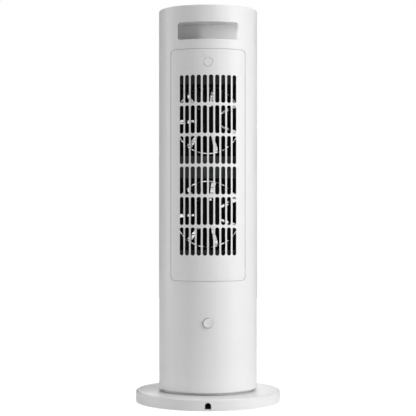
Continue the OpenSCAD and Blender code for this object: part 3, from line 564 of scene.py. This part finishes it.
wall = tube(SHELL_R - SHELL_WALL, WALL_FOOT, SHELL_TOP)
round_edges(wall, lambda e, at, way: outer_crease(e, at, way) and at.z > SHELL_TOP - 1,
            TOP_RIM_R, 5)
cuts = joined(
    window_tool(*PANEL_WINDOW), window_tool(*GRIP_WINDOW),
    window_tool(*OUTLET_WINDOW, FRONT), window_tool(*DISPLAY_WINDOW, FRONT),
    rod(POWER_HOLE_R, 50, 80, POWER_Z),
)
wall = carved(wall, cuts)
round_edges(wall, lambda e, at, way: outer_crease(e, at, way) and at.z < SHELL_TOP - 11,
            EDGE_R, 2)
evenly_shaded(new_piece("tower_wall", wall, SHELL_WHITE, "tower", "tower_shell"))

# %% [markdown]
# ## The intake panel
# The panel that lifts off for cleaning is a piece of the same curved wall, with sixty slots.
# Its slots are drawn straight back out of the mould, so the outer ones look narrower. A slot
# is a block whose corner radius is half its width. Hooks at the foot and a boss for the
# release button stand on the inside.

# %% Sixty straight slots in a curved wall
SLOT_W, SLOT_LEN, SLOT_RISE, SLOT_TURN = 5.8, 37.8, 41.0, 7.0
SLOTS_MID_Z = 325.5
SLOT_COLUMNS, SLOT_ROWS = 10, 6
RELEASE_Z, RELEASE_HOLE_R = 464.0, 6.2
PANEL_OUTLINE = (50.2, 170, 481.5, 5.2)
PANEL_WALL, PANEL_EDGE_R = 2.4, 0.3


def slot_tool(column, row):
    """The solid that one slot is cut with, narrower towards the panel's sides."""
    turn = math.radians((column - (SLOT_COLUMNS - 1) / 2) * SLOT_TURN)
    x, half_w = SHELL_R * math.sin(turn), SLOT_W / 2 * math.cos(turn)
    z = SLOTS_MID_Z + (row - (SLOT_ROWS - 1) / 2) * SLOT_RISE
    low = (x - half_w, 48, z - SLOT_LEN / 2)
    return block(low, (x + half_w, 74, z + SLOT_LEN / 2), half_w - 0.002, segments=5)


def hook_part(inner, outer, z0, side):
    """A short piece of a hook at the panel's foot, up to the hook's top."""
    return spun([(inner, z0), (outer, z0), (outer, 176), (inner, 176)], 6,
                start=85 + side, sweep=10)


panel = carved(tube(SHELL_R - PANEL_WALL, 160, 490), window_tool(*PANEL_OUTLINE), "INTERSECT")
slots = [slot_tool(column, row) for column in range(SLOT_COLUMNS) for row in range(SLOT_ROWS)]
panel = carved(panel, joined(*slots, rod(RELEASE_HOLE_R, 55, 80, RELEASE_Z)))
round_edges(panel, outer_crease, PANEL_EDGE_R, 2)
boss = spun([(6.2, 2), (6.2, 11.5), (8.3, 11.5), (8.3, 6), (7, 6), (7, 3.5), (8.3, 3.5),
             (8.3, 0), (3.3, 0), (3.3, 2)], 48, "Y", (0, 54, RELEASE_Z))
hooks = []
for side in (-22, 22):
    hooks += [hook_part(62, 64.8, 162, side), hook_part(62, 66, 171.5, side)]
evenly_shaded(new_piece("slotted_panel", joined(panel, boss, *hooks), SHELL_WHITE, "panel",
                        "intake_panel"))

# %% [markdown]
# ## The grip cup
# Four fingers go into this recess to carry the heater. It is a separate cup behind the shell's
# window, with a round-cornered floor, because dirt collects in sharp corners. The hollow is
# modelled first, as a solid with rounded edges, and then taken out of the cup's block.

# %% A cup from its hollow
CUP_FLOOR_Y, CUP_WALL = 33, 2.4
CUP_R = SHELL_R - SHELL_WALL - 0.05
grip_half_w, grip_low, grip_high = GRIP_WINDOW[:3]
hollow = window_tool(*GRIP_WINDOW, (CUP_FLOOR_Y, 80))
round_edges(hollow, lambda e, at, way: is_crease(e) and at.y < CUP_FLOOR_Y + 0.1, 1.6, 4)
cup = carved(block((-grip_half_w - CUP_WALL, CUP_FLOOR_Y - CUP_WALL, grip_low - CUP_WALL),
                   (grip_half_w + CUP_WALL, 72, grip_high + CUP_WALL)),
             spun([(0, 480), (CUP_R, 480), (CUP_R, 530), (0, 530)], TOWER_STEPS), "INTERSECT")
grip_hollow = new_piece("grip_hollow", carved(cup, hollow), CUP_WHITE, "tower", "grip_cup")
evenly_shaded(grip_hollow)

# %% [markdown]
# ## Two lamps for the cup alone
# A recess is lit by what comes in past the edges of its window, and that makes a gradient of
# its own. One low lamp far round to the side gives it, and a weak one near the camera fills it.
# Only the cup receives these two, and all the other lamps leave the cup out.

# %% Which lamp lights what


def link_light(lamp, state, piece):
    """Makes a lamp leave a piece out ("EXCLUDE"), or light nothing else ("INCLUDE")."""
    group = bpy.data.collections.new(f"{lamp.name}_{state.lower()}")
    group.objects.link(piece)
    for entry in group.collection_objects:
        entry.light_linking.link_state = state
    lamp.light_linking.receiver_collection = group


for lamp in [thing for thing in bpy.data.objects if thing.type == "LIGHT"]:
    link_light(lamp, "EXCLUDE", grip_hollow)
CUP_AIM = (0, 0.04, 0.506)
cup_lamps = [area_lamp("cup_lamp", -67, 3, 0.8, (0.5, 0.3), 6.8, CUP_AIM),
             area_lamp("cup_fill", 5, 4, 0.8, (0.3, 0.3), 0.5, CUP_AIM)]
for lamp in cup_lamps:
    link_light(lamp, "INCLUDE", grip_hollow)
print("lamps for the cup alone:", len(cup_lamps))

# %% [markdown]
# ## The outlet grille
# Warm air leaves through thin curved slats. Each slat is a thin strip with rounded edges, spun
# round the tower's axis, and four upright ribs behind them keep fingers out. All the slats are
# the same, so one function makes them at their heights.

# %% Frame, slats and ribs
GRILLE_OUTLINE = (45.65, 205.35, 441.65, 7.6)
GRILLE_HOLE = (41.15, 209.85, 437.15, 4.5)
GRILLE_R = 67.6
SLAT_PITCH, SLAT_COUNT = 7.5, 30
SLAT_IN, SLAT_OUT, SLAT_HALF_H = 59.5, 66.8, 0.9


def slat(z):
    """One curved slat, with its long edges rounded."""
    low, high = z - SLAT_HALF_H, z + SLAT_HALF_H
    strip = spun([(SLAT_IN, low), (SLAT_OUT, low), (SLAT_OUT, high), (SLAT_IN, high)], 24,
                 start=-133, sweep=86)
    return round_edges(strip, lambda e, at, way: is_crease(e) and abs(way.z) < 0.5
                       and math.hypot(at.x, at.y) > 59, 0.6, 2)


grille = carved(tube(61, 190, 460, GRILLE_R), window_tool(*GRILLE_OUTLINE, FRONT), "INTERSECT")
grille = carved(grille, window_tool(*GRILLE_HOLE, FRONT))
round_edges(grille, lambda e, at, way: is_crease(e) and on_skin(at, GRILLE_R), 0.5, 2)
first_slat = sum(GRILLE_OUTLINE[1:3]) / 2 - (SLAT_COUNT - 1) / 2 * SLAT_PITCH
slats = [slat(first_slat + i * SLAT_PITCH) for i in range(SLAT_COUNT)]
ribs = []
for turn in (-24, -8, 8, 24):
    rib = soft_block((-0.8, -64.5, 206.4), (0.8, -58.5, 440.6), 0.3)
    bmesh.ops.rotate(rib, verts=rib.verts, matrix=Matrix.Rotation(math.radians(turn), 3, "Z"))
    ribs.append(rib)
evenly_shaded(new_piece("warm_air_grille", joined(grille, *slats, *ribs), SHELL_WHITE, "tower",
                        "outlet_grille"))

# %% [markdown]
# ## The fans
# Each fan has seven wide blades with only a narrow slit between one and the next. A blade is
# a sheet that climbs as it turns, steeply at its front edge and less at its back edge: that is
# its camber. So a line from hub to tip is spun a few degrees at a time, and each step climbs a
# little less than the last. Then the sheet gets its thickness, and its rim is rounded.

# %% A cambered blade
BLADES = 7
FIRST_BLADE = 32.1
BLADE_SPAN = 43.4
BLADE_STEPS = 14
BLADE_CLIMB, BLADE_CAMBER = 12.4, 0.45
BLADE_THICK, BLADE_EDGE_R = 1.7, 0.7
BLADE_FOOT_Y = 22
HUB_R, TIP_R = 19.0, 44.4


def fan_blade(turn):
    """One blade, turned round the fan's axis. Its root reaches 1 mm into the hub."""
    mesh = bmesh.new()
    line = [mesh.verts.new((-(HUB_R - 1 + (TIP_R - HUB_R + 1) * i / 7) * MM,
                            BLADE_FOOT_Y * MM, 0))
            for i in range(8)]
    line += [mesh.edges.new(pair) for pair in zip(line, line[1:])]
    bmesh.ops.rotate(mesh, verts=mesh.verts, matrix=Matrix.Rotation(math.radians(turn), 3, "Y"))
    for step in range(BLADE_STEPS):
        slope = 1 + BLADE_CAMBER * math.cos(math.pi * (step + 0.5) / BLADE_STEPS)
        climb = BLADE_CLIMB / BLADE_STEPS * slope
        line = bmesh.ops.spin(
            mesh, geom=line, cent=(0, 0, 0), axis=(0, 1, 0), dvec=(0, climb * MM, 0),
            angle=math.radians(BLADE_SPAN / BLADE_STEPS), steps=1,
        )["geom_last"]
    bmesh.ops.remove_doubles(mesh, verts=mesh.verts, dist=1e-7)
    bmesh.ops.recalc_face_normals(mesh, faces=mesh.faces)
    bmesh.ops.solidify(mesh, geom=mesh.faces[:], thickness=BLADE_THICK * MM)
    bmesh.ops.recalc_face_normals(mesh, faces=mesh.faces)
    return round_edges(mesh, lambda e, at, way: is_crease(e, 60), BLADE_EDGE_R, 2)


# %% [markdown]
# ## Two fan wheels
# The hub is a cup that closes over the motor, with a small boss where the shaft ends. Both
# wheels are the same; each stands at its own height and rides its own rotor.

# %% Hub and blades
for which in ("upper", "lower"):
    centre_z = part_box("impeller_" + which)[2].z
    hub = spun([(0, 36.5), (17.2, 36.5), (18.5, 35.9), (19, 34.6), (19, 19.5), (16.6, 19.5),
                (16.6, 34.5), (2.6, 34.5), (2.6, 33.4), (0, 33.4)], 56, "Y")
    fan = joined(hub, *[fan_blade(FIRST_BLADE + 360 / BLADES * i) for i in range(BLADES)])
    bmesh.ops.translate(fan, verts=fan.verts, vec=(0, 0, centre_z))
    new_piece(f"fan_wheel_{which}", fan, FAN_BLACK, f"fan_rotor_{which}", f"impeller_{which}")

# %% [markdown]
# ## The power button
# A round cap with a shallow dish for the fingertip stands two and a half millimetres proud. It
# is a turned shape, so its whole section is one outline, with its flange and stem inside the
# tower. The outline's own corners make the dish and the rounded rim. The head is half a
# millimetre narrower than its shoulder, which leaves a fine shadow ring in the hole.

# %% A dished cap
button = spun([(0, 70.1), (3.2, 70.13), (4.7, 70.3), (5.2, 70.45), (5.6, 70.5), (5.95, 70.38),
               (6.2, 70.05), (6.3, 69.6), (6.3, 66.4), (6.8, 66.1), (6.8, 64.3), (8.6, 64.3),
               (8.6, 62.8), (3, 62.8), (3, 46), (0, 46)], 64, "Y", (0, 0, POWER_Z))
new_piece("power_cap", button, BUTTON_WHITE, "power_key", "power_button")

# %% [markdown]
# ## Springs
# A coil spring is a round wire spun round its axis while it climbs, which the spin operator
# does by itself.

# %% Wire that climbs as it is spun


def coil(mean_r, wire_r, length, turns, axis, centre):
    """A coil spring that starts at a centre; its wire is an eight-sided tube."""
    mesh = bmesh.new()
    ring = bmesh.ops.create_circle(mesh, segments=8, radius=wire_r * MM)["verts"]
    bmesh.ops.rotate(mesh, verts=ring, matrix=Matrix.Rotation(math.radians(90), 3, "X"))
    bmesh.ops.translate(mesh, verts=ring, vec=(mean_r * MM, 0, wire_r * MM))
    steps = turns * 24
    climb = (length - 2 * wire_r) / steps * MM
    bmesh.ops.contextual_create(mesh, geom=mesh.edges[:])
    swept = bmesh.ops.spin(mesh, geom=mesh.edges[:], cent=(0, 0, 0), axis=(0, 0, 1),
                           dvec=(0, 0, climb), angle=math.radians(360 * turns), steps=steps)
    last = [g for g in swept["geom_last"] if isinstance(g, bmesh.types.BMEdge)]
    bmesh.ops.contextual_create(mesh, geom=last)
    bmesh.ops.recalc_face_normals(mesh, faces=mesh.faces)
    return placed(mesh, axis, centre)


power_coil = new_piece("power_coil", coil(5.4, 0.5, 13.5, 5, "Y", (0, 49.25, POWER_Z)),
                       SPRING_STEEL, "tower", "power_spring", sharp=60)
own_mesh(power_coil)
release_coil = new_piece("release_coil", coil(4.5, 0.45, 5.9, 3, "Y", (0, 56.05, RELEASE_Z)),
                         SPRING_STEEL, "panel", "release_spring", sharp=60)
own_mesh(release_coil)

# %% [markdown]
# ## The glass on top and its printed marks
# The control glass is a thin disc with a polished edge. Four touch places are printed on it:
# on and off, warmer, cooler, and swing. They are generic marks, made as a film of ink that
# stands six hundredths of a millimetre high, so that they stay on the exported model.

# %% Disc and marks
glass_low, glass_high = part_box("control_glass")[:2]
GLASS_TOP, GLASS_BOTTOM, GLASS_R = glass_high.z / MM, glass_low.z / MM, 40
INK_DEPTH, INK_HEIGHT = 0.07, 0.06
disc = spun([(0, GLASS_BOTTOM), (GLASS_R, GLASS_BOTTOM), (GLASS_R, GLASS_TOP - 0.4),
             (GLASS_R - 0.12, GLASS_TOP - 0.18), (GLASS_R - 0.4, GLASS_TOP - 0.1),
             (GLASS_R - 0.8, GLASS_TOP - INK_HEIGHT), (0, GLASS_TOP - INK_HEIGHT)], 96)
new_piece("touch_glass", disc, GLASS_WHITE, "tower", "control_glass", sharp=60)


def ink_arc(r, start, sweep, centre, line=0.5):
    """An arc of ink round a centre on the glass, from a start angle over a sweep."""
    inner, outer, foot = r - line / 2, r + line / 2, GLASS_TOP - INK_DEPTH
    ring = [(inner, foot), (outer, foot), (outer, GLASS_TOP), (inner, GLASS_TOP)]
    return spun(ring, 32, centre=(*centre, 0), start=start, sweep=sweep)


def ink_bar(x0, y0, x1, y1):
    """A straight bar of ink between two corners on the glass."""
    return block((x0, y0, GLASS_TOP - INK_DEPTH), (x1, y1, GLASS_TOP))


marks = joined(
    ink_arc(3, 125, 290, (0, -18)), ink_bar(-0.25, -17.6, 0.25, -13.8),
    ink_bar(15.4, -0.28, 20.6, 0.28), ink_bar(17.72, -2.6, 18.28, 2.6),
    ink_bar(-20.6, -0.28, -15.4, 0.28),
    ink_arc(4, 20, 140, (0, 15.5)), ink_arc(1, 0, 359, (0, 15.5)),
    *[ink_arc(6.4, a, 359, c, 0.3) for a, c in ((1, (0, -18)), (2, (18, 0)), (3, (-18, 0)),
                                               (4, (0, 18)))],
)
new_piece("touch_marks", marks, PRINT_GREY, "tower", sharp=20)

# %% [markdown]
# ## What stands on the control board
# A real mains board is told at a glance by its parts: black relays, a yellow film capacitor,
# blue electrolytic cans with a groove and an aluminium top, ivory plug housings with pins, and
# a heat sink with fins. Each kind is made once, from its place and its size on the board.

# %% Parts on the board
BOARD_FACE = -2.0


def on_board(x, z, w, depth, h, edge=0.5):
    """A soft-edged block that stands on the board, by its place and its size."""
    return soft_block((x - w / 2, BOARD_FACE - depth, z - h / 2),
                      (x + w / 2, BOARD_FACE, z + h / 2), edge)


def can(x, z, r, length):
    """An electrolytic can: its sleeve, with the groove near its foot, and its bare top."""
    outline = [(0, 0), (r, 0), (r, 2), (r - 0.6, 2.8), (r, 3.6), (r, length - 0.7),
               (r - 0.7, length), (r - 1.6, length), (r - 1.6, length - 0.4), (0, length - 0.4)]
    sleeve = spun([(a, -b) for a, b in outline], 40, "Y", (x, BOARD_FACE, z))
    top = spun([(0, -length + 0.38), (r - 1.7, -length + 0.38), (r - 1.9, -length + 0.1),
                (0, -length + 0.1)], 40, "Y", (x, BOARD_FACE, z))
    return sleeve, top


def plug_housing(x, z, w, depth, h, pins):
    """A shell that is open at its front, and the pins in it, one below the other or in a row."""
    shell = carved(on_board(x, z, w, depth, h, 0.4),
                   block((x - w / 2 + 1, BOARD_FACE - depth - 1, z - h / 2 + 1),
                         (x + w / 2 - 1, BOARD_FACE - 1.5, z + h / 2 - 1)))
    inside = []
    for i in range(pins):
        along = (i + 0.5) / pins - 0.5
        px, pz = (x + along * (w - 2), z) if w > h else (x, z + along * (h - 2))
        inside.append(soft_block((px - 0.35, BOARD_FACE - depth + 1.5, pz - 0.35),
                                 (px + 0.35, BOARD_FACE - 1, pz + 0.35), 0.1, 1))
    return shell, joined(*inside)


relays = joined(on_board(-28, 144, 18, 15, 14, 0.8), on_board(-6, 144, 18, 15, 14, 0.8),
                on_board(-28, 88, 12, 8, 18, 1.2), on_board(8, 98, 9, 2, 9, 0.3))
new_piece("board_relays", relays, BLACK_PLASTIC, "tower", "board_parts")
new_piece("board_film_block", on_board(24, 118, 24, 18, 20, 1.5), FILM_YELLOW, "tower")
cans = [can(-8, 84, 8, 24), can(24, 88, 5.5, 14)]
new_piece("board_cans", joined(*[c[0] for c in cans]), SLEEVE_BLUE, "tower")
new_piece("board_can_tops", joined(*[c[1] for c in cans]), ALUMINIUM, "tower")
plugs = [plug_housing(20, 148, 16, 9, 8, 4), plug_housing(34, 104, 6, 8, 20, 5),
         plug_housing(24, 72, 20, 9, 7, 6)]
new_piece("board_plugs", joined(*[p[0] for p in plugs]), PLUG_IVORY, "tower")
new_piece("board_pins", joined(*[p[1] for p in plugs]), BRASS, "tower")
sink_fins = [on_board(-28 + (i - 2.5) * 3.3, 114, 1.2, 20, 24, 0.3) for i in range(6)]
new_piece("board_heat_sink", joined(on_board(-28, 114, 18, 3, 24, 0.3), *sink_fins), ALUMINIUM,
          "tower")

# %% [markdown]
# ## Wires
# The model's wires are tubes with eight or ten flat sides. Their route is right, so a copy is
# taken, its loose triangles are merged, and it is shaded smoothly, so that the sides look round.
# The supply wire comes up through the swivel: it starts on the base and ends in the tower, so
# it rides neither.

# %% Smooth copies of the wires


def smooth_copy(name, node, finish, body):
    """A smoothly shaded copy of a wire, in the place of the part it is copied from."""
    mesh = bmesh.new()
    mesh.from_mesh(nodes[node].data)
    bmesh.ops.remove_doubles(mesh, verts=mesh.verts, dist=1e-6)
    return new_piece(name, mesh, finish, body, node, sharp=60)


smooth_copy("heater_wires", "heater_leads", LEAD_RED, "tower")
supply_wire = smooth_copy("supply_wire", "supply_lead", LEAD_GREY, None)
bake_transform(supply_wire)
